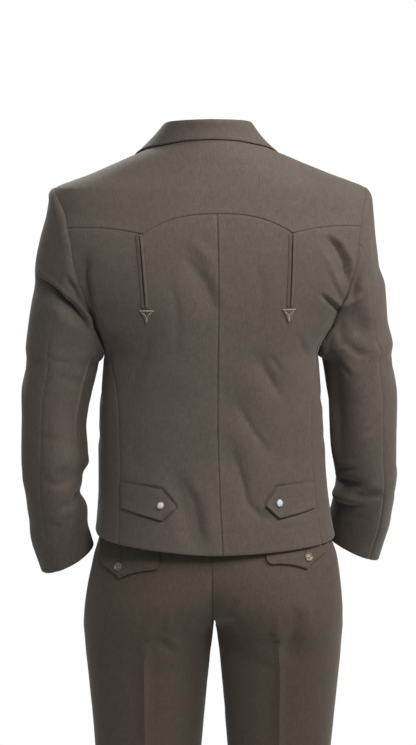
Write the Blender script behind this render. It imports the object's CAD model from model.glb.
import math

import bpy
import numpy as np
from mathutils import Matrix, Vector


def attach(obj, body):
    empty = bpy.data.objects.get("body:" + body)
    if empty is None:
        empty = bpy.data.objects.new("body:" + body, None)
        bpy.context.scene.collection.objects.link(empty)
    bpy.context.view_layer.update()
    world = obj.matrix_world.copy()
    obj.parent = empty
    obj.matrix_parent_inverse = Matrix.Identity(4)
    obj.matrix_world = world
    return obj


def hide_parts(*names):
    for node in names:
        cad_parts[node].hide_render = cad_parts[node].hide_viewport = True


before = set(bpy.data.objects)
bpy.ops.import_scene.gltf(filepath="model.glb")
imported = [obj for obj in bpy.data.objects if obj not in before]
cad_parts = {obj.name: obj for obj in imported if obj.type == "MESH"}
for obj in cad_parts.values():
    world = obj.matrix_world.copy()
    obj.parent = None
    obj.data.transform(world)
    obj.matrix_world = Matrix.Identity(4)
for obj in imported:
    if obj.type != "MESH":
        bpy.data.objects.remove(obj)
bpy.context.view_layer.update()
MM = 0.001
SEED = 7

# ------- driving dimensions
CLOTH = 1.8  # thickness of the cloth with its interlining
SEAM_GAP = 0.3
HEM_Z = -623.5
HEM_RISE = {"left": 16.0, "right": 7.5}
SHOULDER_Z = -74.0
NECK_SIDE_Z = -4.0
YOKE_PEAK_Z = -108.0
BREAK_Z = -392.0
FRONT_OVERLAP = 17.0
FRONT_LIFT = 2.7
WAIST_TOP_Z = -500.0
WAIST_SEAM_Z = -540.0
LEG_HEM_Z = -1552.0
SHOULDER_TURN = math.radians(1.4)
HIP_TURN = math.radians(-6.5)
LEG_SPREAD = 0.017
SIDES = (("left", 1), ("right", -1))


def table(names, *rows):
    """A table with named columns, as {name: array}."""
    return {name: np.array(values, float) for name, values in zip(names.split(), zip(*rows))}


# Level sections of the jacket's form.
JACKET_SECTIONS = table(
    "z half back front square",
    (45, 60, 56, 44, 2.0),
    (8, 63, 61, 48, 2.0),
    (0, 71, 65, 54, 2.0),
    (-8, 81.5, 69, 58, 2.0),
    (-16, 96, 73, 62, 2.0),
    (-25, 117, 77, 67, 2.0),
    (-35, 140, 80, 73, 2.0),
    (-44, 161.5, 83, 78, 2.0),
    (-54, 186, 86, 84, 2.0),
    (-64, 213.5, 89, 90, 2.05),
    (-74, 236.5, 92, 96, 2.1),
    (-110, 254, 101, 115, 2.2),
    (-140, 262, 107, 128, 2.3),
    (-170, 262, 111, 138, 2.35),
    (-200, 251, 113, 145, 2.4),
    (-240, 220, 114, 150, 2.5),
    (-260, 204, 113, 151, 2.5),
    (-285, 190, 111, 151, 2.5),
    (-300, 178.5, 110, 150, 2.5),
    (-330, 165, 108, 149, 2.5),
    (-345, 166.5, 107, 148, 2.5),
    (-407, 172, 103, 144, 2.45),
    (-470, 176, 103, 143, 2.4),
    (-532, 178, 108, 145, 2.45),
    (-580, 182, 114.5, 148, 2.5),
    (-626, 188.5, 121, 151, 2.6),
)
LEAN = table(
    "z x",
    (30, 5),
    (0, 4),
    (-16, 2.7),
    (-44, 1.6),
    (-74, 0),
    (-236, -1),
    (-400, -0.8),
    (-500, -2.8),
    (-560, -4.7),
    (-622, -6.9),
    (-700, -7.5),
    (-815, -7.5),
    (-1552, 0),
)
ARMHOLE = {"y": -6.0, "z": -187.0, "half_depth": 79.0, "half_height": 113.0}
ARM_STEP = 15.0
ARM_YOKE = 60.0
ARM_BACK = 135.0
ARM_SIDE = 210.0
SIDE_BACK_SEAM = table("z x", (-340, 158), (-420, 148), (-490, 148), (-560, 152.5), (-626, 158))
SIDE_FRONT_HEM_TURN = math.radians(116)
YOKE_POINT = (112.5, -137.5)
YOKE_SIDE_PEAK_Z = -132.0
COLLAR_SECTIONS = table(
    "turn neckZ foldRadius foldZ edgeTurn edgeZ",
    (0, 8, 62, 32, 0, -1),
    (30, 7, 63, 31, 31, -3),
    (60, 3, 67, 28.5, 62, -9.5),
    (90, -4, 68.5, 20, 92, -17.5),
    (110, -19, 76, 1, 106, -29),
    (125, -36, 87, -19, 113, -41),
    (136, -52, 104, -43, 119, -57),
)
SLEEVE_RINGS = table(
    "down x y z half depth across along",
    (0, 231, -6, -340, 52.5, 66, 4, 0),
    (45, 235, -4, -385, 52.5, 63, 3, 0),
    (93, 240, 0, -433, 50.5, 59, 1, 0),
    (138, 243.5, 2, -478, 49.5, 56, -3, -4),
    (180, 246, 0, -520, 47, 54, -6, -10),
    (217, 244, -9, -556, 44.5, 53, -7, -14),
    (254, 239, -20, -590, 44, 52, -9, -14),
    (292, 232, -31, -625, 44.5, 51, -16, -10),
    (320, 227.5, -38, -652, 45, 50, -26, -6),
)
ARM_HANG = table(
    "down leftOut leftWider rightOut rightWider rightForward",
    (0, 0, 0, 0, 0, 0),
    (0.12, 2.5, 0, 2.5, 0, 0),
    (0.2, -1, 0, 0, 0, 0),
    (0.3, -2.5, 0, -3.5, 0, 0),
    (0.42, 0.5, 0, -6.6, 0, 0),
    (0.55, 3, 0, -7, 0, 0),
    (0.65, 1, 0, -1, 0, 0),
    (0.8, 3.5, 0, -1, -1, 0),
    (0.93, 4.5, 0, 6, -3, 0),
    (1.0, 1, 0.8, 2, -2.5, 0),
    (1.16, 4.4, 0.7, 2.3, 1, 0),
    (1.3, 3.1, -0.3, -1, 2.5, 0),
    (1.45, -0.5, 2, -3.2, 2.2, 3),
    (1.62, 0, -1, 1, 3, 10),
    (1.75, -1.8, 1.5, 4.5, 3.5, 17),
    (1.86, 1.5, 1.8, 7.5, 5, 24),
    (2, -4, 1, 8, 3, 30),
)
ARMPIT_PRESS = table(
    "down share", (0, 0), (0.1, 0.55), (0.25, 1), (0.55, 1), (0.8, 0.85), (1.03, 0.36), (1.2, 0)
)
ALLOWANCE_IN = 190.0  # how far a sleeve's lining side would go in under the body, one unit above its seam
PRESS_GAP = 0.8  # smooth cloth can lie closer than the flat facets of the solids
SLEEVE_LENGTH = 320.0
CUFF_DROP = {"left": 4.0, "right": 3.0}
BACK_SEAM_AROUND = 75.0
FRONT_SEAM_AROUND = 255.0
ARMPIT_LEAN_Z = -350.0
SLEEVE_TWIST = (9.0, 16.0)
LEG_SECTIONS = table(
    "z middle half back front",
    (-500, 0, 158, 85, 112),
    (-560, 0, 165, 91, 118),
    (-600, 8, 168, 98, 120),
    (-622, 15, 167.5, 103.5, 121),
    (-640, 23, 165.5, 110, 121),
    (-670, 42, 153, 117, 120),
    (-705, 70, 130.5, 120, 118),
    (-740, 93.7, 110, 116, 114),
    (-763, 102.1, 101.7, 109, 111),
    (-790, 103.3, 98.3, 102, 108),
    (-815, 104.2, 95.7, 97, 105),
    (-900, 104, 88, 88, 97),
    (-1080, 105, 75, 79, 86),
    (-1300, 107, 67, 78, 78),
    (-1552, 109, 61, 80, 70),
)
LEG_SQUARE = 2.2
PRESSED_CREASE = {"top_z": -690.0, "full_z": -830.0, "height": 6.0, "width": 16.0}


# ------- mathematics
def lerp(a, b, t):
    return a + (b - a) * t


def smoothstep(value, low, high):
    t = np.clip((value - low) / (high - low), 0, 1)
    return t * t * (3 - 2 * t)


def bell(distance, width):
    return np.exp(-((distance / width) ** 2))


def vec(x, y, z):
    return np.stack(np.broadcast_arrays(np.asarray(x, float), y, z), -1)


def length(v):
    return np.linalg.norm(v, axis=-1, keepdims=True)


def unit(v):
    return v / np.maximum(length(v), 1e-9)


def column(x, y):
    """A smooth function through a table's rows that never overshoots them."""
    order = np.argsort(x)
    x, y = x[order], y[order]
    rise = np.diff(y) / np.diff(x)
    both = rise[:-1] * rise[1:]
    inner = np.where(both > 0, 2 * both / np.where(both > 0, rise[:-1] + rise[1:], 1), 0)
    slope = np.concatenate([rise[:1], inner, rise[-1:]])

    def at(value):
        value = np.clip(value, x[0], x[-1])
        i = np.clip(np.searchsorted(x, value) - 1, 0, len(x) - 2)
        span = x[i + 1] - x[i]
        t = (value - x[i]) / span
        ease = t * t * (3 - 2 * t)
        leave = t * (1 - t) ** 2 * span * slope[i]
        arrive = t * t * (t - 1) * span * slope[i + 1]
        return lerp(y[i], y[i + 1], ease) + leave + arrive

    return at


def columns(rows, along):
    return {name: column(rows[along], rows[name]) for name in rows if name != along}


def patch(bottom, top, left, right):
    """The patch between four edges, each a function of 0 to 1 that gives (a, b)."""

    def at(s, t):
        zero, one = np.zeros_like(s), np.ones_like(s)
        b, u, l, r = bottom(s), top(s), left(t), right(t)
        b0, b1, u0, u1 = bottom(zero), bottom(one), top(zero), top(one)
        return [
            lerp(b[k], u[k], t) + lerp(l[k], r[k], s) - lerp(lerp(b0[k], b1[k], s), lerp(u0[k], u1[k], s), t)
            for k in (0, 1)
        ]

    return at


def polyline(points, t):
    """Points, each an array or a number per axis, joined by equal stretches of 0 to 1."""
    last = len(points) - 1
    at = np.clip(t, 0, 1) * last
    i = np.minimum(last - 1, np.floor(at)).astype(int)
    part = at - i
    result = []
    for k in range(len(points[0])):
        values = np.stack([np.broadcast_to(np.asarray(p[k], float), t.shape) for p in points])
        low = np.take_along_axis(values, i[None], 0)[0]
        high = np.take_along_axis(values, i[None] + 1, 0)[0]
        result.append(lerp(low, high, part))
    return result


def chain(first, second, share):
    """Two curves one after the other; the first takes the given share of 0 to 1."""

    def at(t):
        a = first(np.minimum(t / share, 1))
        b = second(np.maximum((t - share) / (1 - share), 0))
        return [np.where(t <= share, a[k], b[k]) for k in range(len(a))]

    return at


# ------- the forms
jacket = columns(JACKET_SECTIONS, "z")
lean_at = column(LEAN["z"], LEAN["x"])
leg_at = columns(LEG_SECTIONS, "z")
ring_at = columns(SLEEVE_RINGS, "down")
hang_at = columns(ARM_HANG, "down")
press_at = column(ARMPIT_PRESS["down"], ARMPIT_PRESS["share"])
collar_at = columns(COLLAR_SECTIONS, "turn")
side_seam_x = column(SIDE_BACK_SEAM["z"], SIDE_BACK_SEAM["x"])


def girth(share, square):
    """How far a superellipse reaches along one axis, where it has that share of the other one."""
    return (1 - share**square) ** (1 / square)


def superellipse(turn, half, depth, square):
    across = np.abs(np.sin(turn) / half) ** square
    along = np.abs(np.cos(turn) / depth) ** square
    return (across + along) ** (-1 / square)


def depth_of(part, behind, z):
    return np.where(behind, part["back"](z), part["front"](z))


def torso_form(turn, z):
    """The jacket's upright form; the turn is 0 at the centre back and pi/2 at the wearer's left."""
    depth = depth_of(jacket, np.cos(turn) >= 0, z)
    radius = superellipse(turn, jacket["half"](z), depth, jacket["square"](z))
    return vec(radius * np.sin(turn), radius * np.cos(turn), z)


def stand(point, turn, lean):
    """A point of the upright form, where the wearer's stand puts it."""
    x, y, z = point[..., 0], point[..., 1], point[..., 2]
    c, s = math.cos(turn), math.sin(turn)
    return vec(x * c - y * s + lean, x * s + y * c, z)


def torso(turn, z):
    return stand(torso_form(turn, z), SHOULDER_TURN, lean_at(z))


def turn_at(x, z, front=False):
    share = np.minimum(1, np.abs(x) / jacket["half"](z))
    y = girth(share, jacket["square"](z)) * (-jacket["front"](z) if front else jacket["back"](z))
    turn = np.arctan2(x, y)
    return np.where(turn < 0, turn + 2 * np.pi, turn) if front else turn


def armhole_at(degrees):
    """A point of the left armhole as (turn, z); degrees run from the top over the back."""
    angle = np.radians(degrees)
    y = ARMHOLE["y"] + ARMHOLE["half_depth"] * np.sin(angle)
    z = ARMHOLE["z"] + ARMHOLE["half_height"] * np.cos(angle)
    x = jacket["half"](z) * girth(np.abs(y) / depth_of(jacket, y >= 0, z), jacket["square"](z))
    return np.arctan2(x, y), z


def arm_ring(around, down):
    """The sleeve's form below its cap, down being the distance from there."""
    twist = lerp(*SLEEVE_TWIST, down / SLEEVE_LENGTH)
    angle = np.radians(around - twist * np.sin(np.radians(around)))
    ring = {name: at(down) for name, at in ring_at.items()}
    across, along = np.radians(ring["across"]), np.radians(ring["along"])
    wide = (ring["half"] * np.cos(angle))[..., None] * vec(np.cos(across), 0, np.sin(across))
    deep = (ring["depth"] * np.sin(angle))[..., None] * vec(0, np.cos(along), np.sin(along))
    return vec(ring["x"], ring["y"], ring["z"]) + wide + deep


def sleeve_form(around, down):
    """The left sleeve's form: down is 0 at the armhole, 1 where the cap ends and 2 at the cuff."""
    over = np.cos(np.radians(around))
    leave = vec(0.5 + 0.5 * over, 0, -0.55 + 0.5 * over)
    turn, z = armhole_at(around)
    outward = torso_form(turn, np.full_like(turn, ARMHOLE["z"])) * [1, 1, 0]
    start = torso_form(turn, z) + 0.25 * unit(outward) + 0.12 * leave
    end = arm_ring(around, np.zeros_like(around))
    drop = length(end - start)
    arrive = unit(arm_ring(around, np.full_like(around, 5.0)) - end) * drop
    leave = leave * drop * (0.6 - 0.4 * over)[..., None]
    t = np.minimum(down, 1)[..., None]
    ease = t * t * (3 - 2 * t)
    cap = lerp(start, end, ease) + leave * t * (1 - t) ** 2 + arrive * t * t * (t - 1)
    cap = cap + ALLOWANCE_IN * np.minimum(down, 0)[..., None] * unit(outward)
    arm = arm_ring(around, np.maximum(down - 1, 0) * SLEEVE_LENGTH)
    return np.where((down >= 1)[..., None], arm, cap)


def sleeve(side, around, down):
    name = "left" if side > 0 else "right"
    point = sleeve_form(around, down)
    x, y, z = point[..., 0], point[..., 1], point[..., 2]
    over = np.cos(np.radians(around))
    share = lerp(np.maximum(0, over), 1, smoothstep(down, 0.55, 0.9))
    x = x + hang_at[name + "Out"](down) * share + hang_at[name + "Wider"](down) * over
    share = np.minimum(1, np.abs(y) / depth_of(jacket, y >= 0, z))
    beside = np.minimum(x, jacket["half"](z) * girth(share, jacket["square"](z)) + PRESS_GAP)
    x = lerp(x, beside, press_at(down) * np.maximum(0, -over) ** 0.7)
    forward = hang_at["rightForward"](down) if side < 0 else 0
    z = z - CUFF_DROP[name] * np.maximum(0, down - 1) ** 2
    point = vec(x * side, y - forward, z)
    return stand(point, SHOULDER_TURN, lean_at(np.maximum(z, ARMPIT_LEAN_Z)))


def leg_form(round_, z):
    """The left leg's form: round_ is 0 at the centre back, 1 at the side and 2 at the centre front."""
    middle, half = leg_at["middle"](z), leg_at["half"](z)
    flat = girth(np.minimum(1, middle / half), LEG_SQUARE)
    start = np.arctan2(-middle, flat * leg_at["back"](z))
    end = np.pi + np.arctan2(middle, flat * leg_at["front"](z))
    back_turn = lerp(start, np.pi / 2, round_)
    front_turn = lerp(np.pi / 2, end, round_ - 1)
    turn = np.where(round_ <= 1, back_turn, front_turn)
    radius = superellipse(turn, half, depth_of(leg_at, np.cos(turn) >= 0, z), LEG_SQUARE)
    pressed = 1 - smoothstep(z, PRESSED_CREASE["full_z"], PRESSED_CREASE["top_z"])
    away = np.abs(radius * np.sin(turn)) / PRESSED_CREASE["width"]
    crease = pressed * PRESSED_CREASE["height"] * np.maximum(0, 1 - away) ** 2
    y = radius * np.cos(turn) + crease * np.sign(np.cos(turn))
    return vec(middle + radius * np.sin(turn), y, z)


def stand_trousers(side, x, y, z):
    spread = 1 + side * LEG_SPREAD * (1 - smoothstep(z, -760, -640))
    return stand(vec(side * x * spread, y, z), HIP_TURN, lean_at(z))


def trouser_leg(side, round_, z):
    point = leg_form(round_, z)
    return stand_trousers(side, point[..., 0], point[..., 1], z)


# ------- folds and creases
# The largest folds, as the solids have them: a line on the back view, half its width and its depth.
FOLDS = {
    "body": (
        (98, -275, 150, -385, 20, -4),
        (40, -165, 2, -260, 17, -3.5),
        (-62, -320, -102, -385, 17, -4.5),
        (-28, -385, -92, -480, 18, -3.5),
        (-20, -455, -62, -575, 18, -4),
        (62, -500, 30, -610, 17, -5),
        (-178, -150, -202, -215, 14, -5),
        (198, -170, 190, -240, 12, -5),
    ),
    "left": (
        (266, -215, 197, -262, 17, -8),
        (205, -480, 262, -500, 20, 4),
        (186, -500, 236, -516, 15, -6),
    ),
    "right": (
        (-196, -262, -232, -300, 20, -8),
        (-198, -250, -234, -216, 12, 4),
        (-190, -528, -235, -545, 16, -6),
    ),
    "trousers": (
        (-12, -752, -32, -725, 14, -4),
        (-112, -725, -122, -800, 22, -5),
    ),
}
# Finer creases, by the side they are seen from: half their width, their depth and the points of their
# line. From the back and the front a point is x, z; from outside or inside an arm or a leg it is y, z.
CREASES = {
    "body": {
        "back": (
            (6, -2.2, 52, -508, 33, -540, 23, -602),
            (9, 1.6, 14, -508, 9, -560, 8, -614),
            (5, -1.8, -24, -462, -40, -507, -48, -545, -69, -567, -97, -577),
            (5, -1.6, -66, -330, -84, -358, -103, -392),
            (4, -1.0, -80, -318, -104, -352),
            (5, -1.5, -31, -394, -62, -444, -84, -474),
            (7, -1.4, 48, -170, 15, -212, -2, -258),
            (8, 1.4, 40, -147, 20, -166, 3, -186),
            (7, -1.6, 94, -288, 112, -334, 134, -384),
            (5, -1.2, -123, -288, -131, -307, -139, -328),
            (4.2, -3.6, 191, -176, 195, -196, 201, -218),
            (4.4, -5.4, 196, -190, 193, -215, 186, -246, 180, -276),
            (7, -3.5, 184, -258, 177, -282, 171, -304),
            (4.2, -6.0, -166, -142, -187, -161, -199, -182, -204, -220),
            (3.2, -4.4, -158, -229, -176, -245, -197, -264),
            (5, 1.6, -150, -150, -176, -186, -190, -230),
            (3.6, -1.8, -168, -190, -182, -220, -197, -246),
            (6, -0.9, 70, -198, 58, -262, 62, -330),
            (7, -0.8, -58, -170, -70, -228, -60, -290),
            (8, -0.9, -118, -440, -122, -500, -112, -545),
            (8, -0.8, 118, -420, 124, -470, 116, -505),
        ),
        "front": (
            (7, -2.6, -10, -410, -62, -396, -128, -352, -158, -318),
            (6, -2.0, 8, -416, 64, -408, 124, -372),
            (6, -1.8, -12, -424, -70, -440, -140, -442),
            (7, -1.6, 18, -430, 80, -452, 148, -446),
            (8, -1.8, 14, -520, 38, -560, 60, -606),
            (7, -1.5, -14, -520, -42, -566, -52, -610),
            (9, -1.8, 176, -160, 166, -214, 140, -262),
            (9, -1.8, -180, -168, -160, -222, -134, -256),
        ),
        "outer": (
            (8, -1.4, -40, -380, 6, -402, 52, -396),
            (9, -1.2, -58, -470, 0, -456, 44, -470),
        ),
    },
    "left": {
        "back": (
            (4.2, -11.0, 274, -202, 247, -221, 230, -237, 212, -250, 196, -268, 184, -294),
            (4.4, -6.5, 224, -204, 208, -222, 188, -256),
            (21, -15.0, 172, -270, 166, -330, 178, -380, 188, -430, 192, -520),
            (9, 2.0, 256, -238, 228, -262, 206, -292),
            (7, -1.3, 238, -352, 214, -362, 190, -378),
            (5, -1.0, 262, -318, 238, -332, 212, -336),
            (5.5, -5.0, 188, -530, 203, -543, 216, -556, 238, -562),
            (5, -1.5, 262, -512, 242, -522, 214, -524),
            (6, -1.2, 268, -574, 246, -590, 222, -594),
            (6, -1.1, 272, -442, 250, -452, 226, -448),
        ),
        "front": (
            (6, -3.6, 196, -486, 226, -500, 262, -502),
            (5, -3.0, 192, -512, 226, -522, 258, -530),
            (5, -2.4, 204, -466, 232, -474, 256, -472),
            (6, -2.4, 196, -546, 226, -548, 250, -560),
            (7, -3.0, 262, -214, 232, -244, 204, -276),
            (8, -1.8, 276, -330, 246, -356, 214, -372),
        ),
        "outer": (
            (7, -1.4, -56, -498, -22, -512, 18, -508),
            (6, -1.3, -60, -526, -30, -536, 4, -540),
            (9, -1.0, -44, -330, 0, -352, 34, -398),
        ),
        "inner": (
            (12, 6.0, -46, -492, 0, -498, 48, -497),
            (11, -4.0, -46, -548, 0, -546, 48, -544),
        ),
    },
    "right": {
        "back": (
            (5, 4.0, -190, -258, -208, -248, -228, -234),
            (7, -6.5, -206, -256, -213, -234, -214, -204),
            (9, -5.5, -188, -270, -194, -292, -202, -318),
            (5, -4.2, -201, -306, -216, -320, -236, -333),
            (4, -3.2, -186, -336, -199, -349, -212, -364),
            (21, -15.0, -172, -280, -174, -350, -184, -430, -192, -520),
            (5, -1.4, -246, -300, -238, -332, -222, -352),
            (4, -4.0, -186, -522, -204, -512, -224, -508),
            (4, -3.6, -188, -553, -214, -551, -248, -556),
            (4, -2.6, -196, -572, -218, -574, -240, -570),
            (7, -4.0, -236, -548, -254, -553, -270, -552),
            (4, -1.2, -206, -594, -228, -590, -250, -596),
            (6, -1.1, -262, -420, -244, -446, -226, -454),
        ),
        "front": (
            (6, -3.4, -196, -492, -226, -502, -260, -498),
            (5, -3.0, -194, -520, -226, -528, -256, -524),
            (5, -2.2, -200, -548, -228, -552, -252, -560),
            (5, -2.0, -204, -468, -230, -476, -254, -470),
            (7, -3.0, -258, -218, -230, -246, -206, -272),
            (8, -1.8, -272, -344, -244, -362, -212, -386),
        ),
        "outer": (
            (7, -1.4, -60, -506, -28, -514, 10, -504),
            (6, -1.3, -64, -540, -34, -546, -4, -558),
            (9, -1.0, -48, -318, -6, -346, 30, -386),
        ),
        "inner": (
            (8, -9.0, -46, -543, 0, -539, 52, -537),
            (9, 3.5, -46, -562, 0, -559, 50, -557),
        ),
    },
    "trousers": {
        "back": (
            (4, -3.2, -80, -716, -84, -744, -90, -776),
            (8, -3.2, -108, -700, -124, -722, -118, -752, -104, -786),
            (4.5, -2.6, -32, -690, -21, -706, -12, -720),
            (16, -8.0, -6, -728, -24, -760, -48, -806),
            (5, 1.4, 70, -706, 73, -724, 73, -742),
            (5, -3.2, 84, -754, 75, -768, 60, -784),
            (7, -1.4, 30, -700, 52, -742, 88, -782),
            (8, -1.6, -40, -780, -76, -800, -116, -812),
            (9, -2.0, 60, -1010, 98, -1028, 140, -1020),
            (8, -1.8, 66, -1052, 104, -1064, 148, -1074),
            (9, -2.0, -58, -1022, -98, -1034, -142, -1018),
            (8, -1.7, -64, -1066, -104, -1080, -144, -1086),
            (10, -3.0, 62, -1452, 104, -1468, 150, -1458),
            (9, -2.6, -62, -1448, -104, -1466, -150, -1462),
            (9, -2.2, 70, -1504, 108, -1514, 148, -1500),
            (9, -2.0, -70, -1500, -108, -1512, -148, -1506),
        ),
        "front": (
            (6, -2.4, -8, -716, -44, -700, -92, -702),
            (6, -2.4, 8, -712, 42, -694, 88, -690),
            (6, -2.0, -8, -742, -50, -738, -96, -748),
            (6, -2.0, 8, -744, 54, -742, 102, -756),
            (10, -1.8, 52, -1048, 100, -1062, 146, -1050),
            (10, -1.8, -54, -1056, -100, -1064, -146, -1058),
            (9, -3.2, 58, -1452, 106, -1474, 152, -1460),
            (9, -3.0, -60, -1456, -106, -1476, -150, -1466),
        ),
        "outer": (
            (9, -1.8, -60, -1036, 0, -1052, 58, -1046),
            (9, -2.4, -62, -1466, 0, -1476, 62, -1462),
        ),
    },
}
LIP = 0.4  # how high the cloth rises beside a crease, as a share of its depth
WIDEST_WITH_LIP = 12
DRIFT = ((46, 0.55), (19, 0.22))  # the uneven lie of all cloth: its scales and depths


def lattice(cell, seed):
    """A number from -1 to 1 for each cell, always the same for the same cell."""
    n = cell[..., 0] * 374761393 + cell[..., 1] * 668265263 + cell[..., 2] * 2147483647 + seed * 974711
    n = (n ^ (n >> 13)) * 1274126177 & 0xFFFFFFFF
    return ((n ^ (n >> 16)) & 0xFFFF) / 32767.5 - 1


def noise(point, scale, seed=SEED):
    """Soft noise from -1 to 1 with features of about the given size."""
    at = point / scale
    cell = np.floor(at).astype(np.int64)
    part = at - cell
    ease = part * part * (3 - 2 * part)
    total = np.zeros(point.shape[:-1])
    for corner in np.ndindex(2, 2, 2):
        share = np.prod(np.where(corner, ease, 1 - ease), axis=-1)
        total += share * lattice(cell + corner, seed)
    return total


def fold_depth(fold, x, z):
    x0, z0, x1, z1, width, depth = fold
    dx, dz = x1 - x0, z1 - z0
    reach = math.hypot(dx, dz)
    along = ((x - x0) * dx + (z - z0) * dz) / reach**2
    away = ((x - x0) * dz - (z - z0) * dx) / reach
    return depth * np.exp(-((away / width) ** 2) - (np.abs(along - 0.5) * 2) ** 4)


def crease_depth(x, z, width, depth, line):
    """A trough or ridge along a line, fading out at its ends; a narrow one has a lip along one side."""
    line = np.reshape(line, (-1, 2)).astype(float)
    step = np.diff(line, axis=0)
    long = np.hypot(*step.T)
    nearest = np.full(x.shape, np.inf)
    along, away = np.zeros(x.shape), np.zeros(x.shape)
    for start, way, reach, passed in zip(line, step / long[:, None], long, np.cumsum(long) - long):
        dx, dz = x - start[0], z - start[1]
        on = np.clip(dx * way[0] + dz * way[1], 0, reach)
        distance = np.hypot(dx - on * way[0], dz - on * way[1])
        closer = distance < nearest
        nearest = np.where(closer, distance, nearest)
        along = np.where(closer, (passed + on) / long.sum(), along)
        away = np.where(closer, distance * np.sign(dx * way[1] - dz * way[0]), away)
    fade = 1 - np.abs(2 * along - 1) ** 2.5
    lip = LIP * bell(away - 2 * width, 1.3 * width) if width < WIDEST_WITH_LIP else 0
    return depth * fade * (bell(nearest, width) - lip)


def relief(on, point, normal):
    """How far the cloth of one part of the suit lies off its form."""
    x, y, z = point[..., 0], point[..., 1], point[..., 2]
    nx, ny = normal[..., 0], normal[..., 1]
    behind = smoothstep(ny, -0.35, 0.35)
    views = {
        "back": (x, smoothstep(ny, 0.0, 0.5) if on in ("left", "right") else behind),
        "front": (x, smoothstep(-ny, -0.1, 0.5)),
        "outer": (y, smoothstep(nx * np.sign(x), 0.2, 0.7)),
        "inner": (y, smoothstep(-nx * np.sign(x), 0.2, 0.7)),
    }
    out = sum(depth * noise(point, scale) for scale, depth in DRIFT)
    for fold in FOLDS.get(on, ()):
        out = out + fold_depth(fold, x, z) * behind
    for view, creases in CREASES.get(on, {}).items():
        across, toward = views[view]
        for width, depth, *line in creases:
            out = out + crease_depth(across, z, width, depth, line) * toward
    return out


# ------- cloth pieces
SLIVER = 0.004
EDGE_STEPS = (0, 0.45, 1.1, 2.0, 3.2)  # rows that round off an edge or sink a seam
# At a lapped seam the lining side of one piece reaches under its neighbour, whose own is cut back.
INNER_GAP = {"over": -1.2, "under": 1.5, "seam over": -1.2, "seam under": 1.5, "roped": -5.0}
JOIN = 15.0  # over this distance a sleeve takes up the lie of the body
TRIMS = {}  # the pieces that go with a sheet, by the sheet's name


def normal_of(surface, s, t, goes_on=False):
    least, most = (-1, 2) if goes_on else (0, 1)
    right = surface(np.minimum(most, s + SLIVER), t) - surface(np.maximum(least, s - SLIVER), t)
    up = surface(s, np.minimum(1, t + SLIVER)) - surface(s, np.maximum(0, t - SLIVER))
    return unit(np.cross(right, up))


def arcs(points, axis):
    """The distance walked along a grid's rows (axis 1) or columns (axis 0)."""
    steps = np.linalg.norm(np.diff(points, axis=axis), axis=-1)
    start = np.zeros_like(np.take(steps, [0], axis))
    return np.concatenate([start, np.cumsum(steps, axis)], axis)


def places(total, step, keep=()):
    """Places from 0 to 1 along an edge of that length, closer together at its ends."""
    near = np.array(EDGE_STEPS)
    first = near[-1] + step / 2
    count = max(2, round((total - 2 * first) / step) + 1)
    at = np.concatenate([near, np.linspace(first, total - first, count), total - near[::-1]]) / total
    for place in keep:
        at[np.argmin(np.abs(at - place))] = place
    return at


def edge_relief(kind, away, point):
    """How an edge of that kind shapes the cloth, away from it in millimetres."""
    pucker = 0.2 * noise(point, 8, SEED + 1) * bell(away, 8)
    rounded = np.maximum(0, 1 - away / 1.3) ** 2
    sunk = lerp(0.3, 1, smoothstep(point[..., 2], -290, -320))  # armholes and shoulders are pressed flat
    return {
        "seam": -sunk * (bell(away, 1.9) + 0.35 * bell(away, 5)) + pucker,
        "roped": 0.35 * bell(away - 5, 4) - 0.25 * bell(away, 1.2) + pucker,
        "over": 0.55 * bell(away, 6) - 0.4 * rounded + pucker,
        "under": -0.9 * bell(away, 2.6) + pucker,
        "hem": 0.3 * bell(away - 4, 4) - 0.7 * rounded - 0.22 * bell(away - 34, 3) + 0.6 * pucker,
        "free": 0.25 * bell(away - 2.4, 1.8) - 0.6 * rounded,
        "pipe": np.zeros_like(away),
    }[kind.split()[0]]


def mesh_object(name, points, faces, material, uv=None, sharp=50):
    """A smooth piece in the scene, with a crisp edge where its faces turn by more than sharp degrees."""
    mesh = bpy.data.meshes.new(name)
    mesh.from_pydata((points * MM).tolist(), [], faces)
    mesh.validate()
    if uv is not None:
        corner = np.empty(len(mesh.loops), np.int32)
        mesh.loops.foreach_get("vertex_index", corner)
        layer = mesh.uv_layers.new(name="cloth")
        layer.uv.foreach_set("vector", (uv[corner] * MM).astype(np.float32).ravel())
    mesh.polygons.foreach_set("use_smooth", np.ones(len(mesh.polygons), bool))
    mesh.set_sharp_from_angle(angle=math.radians(sharp))
    mesh.materials.append(material)
    mesh.update()
    piece = bpy.data.objects.new(name, mesh)
    bpy.context.scene.collection.objects.link(piece)
    return piece


def quads(a, b, c, d):
    return np.stack([a, b, c, d], -1).reshape(-1, 4)


def ring_faces(rows, sides, first=0):
    """The faces of a tube whose rings have that many points each, numbered from first."""
    at = first + np.arange(rows * sides).reshape(rows, sides)
    after = np.roll(at, -1, 1)
    return quads(at[:-1], after[:-1], after[1:], at[1:])


def shell_faces(high, wide):
    """The faces between two grids of points, outer and inner, and round their rim."""
    at = np.arange(high * wide).reshape(high, wide)
    deep = high * wide
    outer = quads(at[:-1, :-1], at[:-1, 1:], at[1:, 1:], at[1:, :-1])
    rims = [
        quads(e[:-1], e[:-1] + deep, e[1:] + deep, e[1:])
        for e in (at[0], at[:, -1], at[-1, ::-1], at[::-1, 0])
    ]
    return np.concatenate([outer, outer[:, ::-1] + deep, *rims])


def settle(piece, node=None, panel=None):
    """Puts a piece in the frame: its body, its finish, its solid, and the sheet that it is a trim of."""
    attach(piece, "root")
    if node:
        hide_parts(node)
    if panel:
        TRIMS.setdefault(panel + "_shell", []).append(piece)
    return piece


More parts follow.
